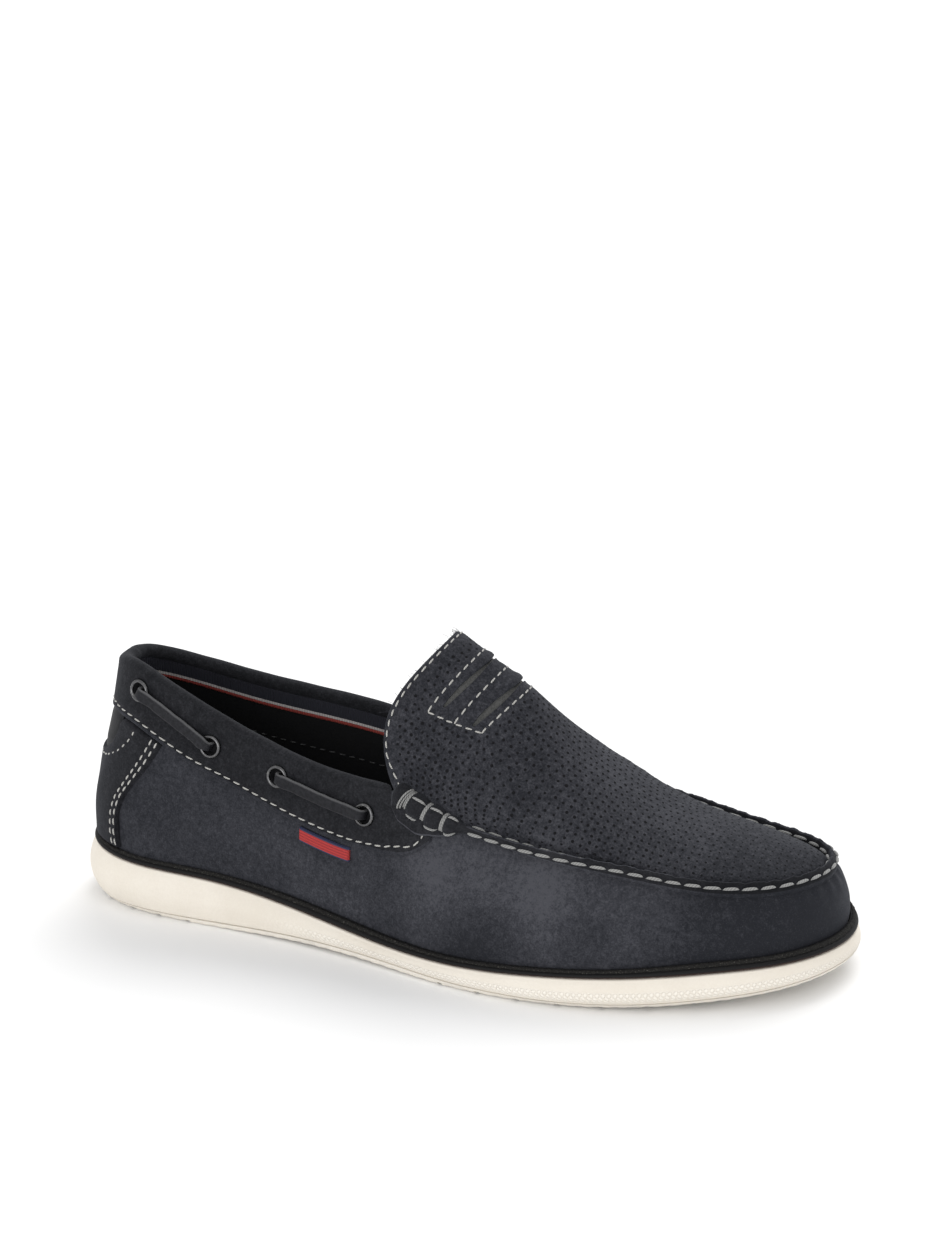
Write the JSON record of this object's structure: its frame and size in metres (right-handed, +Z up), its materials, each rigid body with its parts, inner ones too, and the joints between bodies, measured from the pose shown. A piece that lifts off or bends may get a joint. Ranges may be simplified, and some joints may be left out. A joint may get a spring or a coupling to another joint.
{
  "type": "slip-on shoe",
  "caption": "Deck-style slip-on moccasin for the right foot, with a perforated plug and tongue, a raised hand-sewn seam, a laced collar band and a wedge sole.",
  "frame": {"origin": "centre of the bounding box on the floor plane under the sole", "axes": "+X from heel to toe, +Y to the inner (medial) side, +Z up"},
  "size_m": [0.2985, 0.1069, 0.115],
  "materials": {
    "nubuck": "dark navy nubuck, matt and slightly mottled",
    "smooth_leather": "smooth dark leather, low sheen",
    "lining": "black textile lining",
    "cream_sole": "cream foamed rubber, matt",
    "grey_tread": "pale grey rubber, matt",
    "black_rubber": "black moulded rand, semi-matt",
    "gunmetal": "dark polished metal",
    "thong": "smooth leather thong with raw edges",
    "woven_tab": "plain woven ribbon"
  },
  "bodies": {
    "root": {"upper": "nubuck", "collar_band": "nubuck", "heel_counter": "nubuck", "back_patch": "smooth_leather", "welt": "black_rubber", "midsole": "cream_sole", "outsole": "grey_tread", "insole": "lining", "side_tab": "woven_tab", "slot_inlay_1": "smooth_leather", "slot_inlay_2": "smooth_leather", "eyelet_lateral_1": "gunmetal", "eyelet_lateral_2": "gunmetal", "eyelet_lateral_3": "gunmetal", "eyelet_lateral_4": "gunmetal", "eyelet_medial_1": "gunmetal", "eyelet_medial_2": "gunmetal", "eyelet_medial_3": "gunmetal", "eyelet_medial_4": "gunmetal", "thong_lateral_rear": "thong", "thong_lateral_front": "thong", "thong_medial_rear": "thong", "thong_medial_front": "thong"}
  },
  "joints": []
}
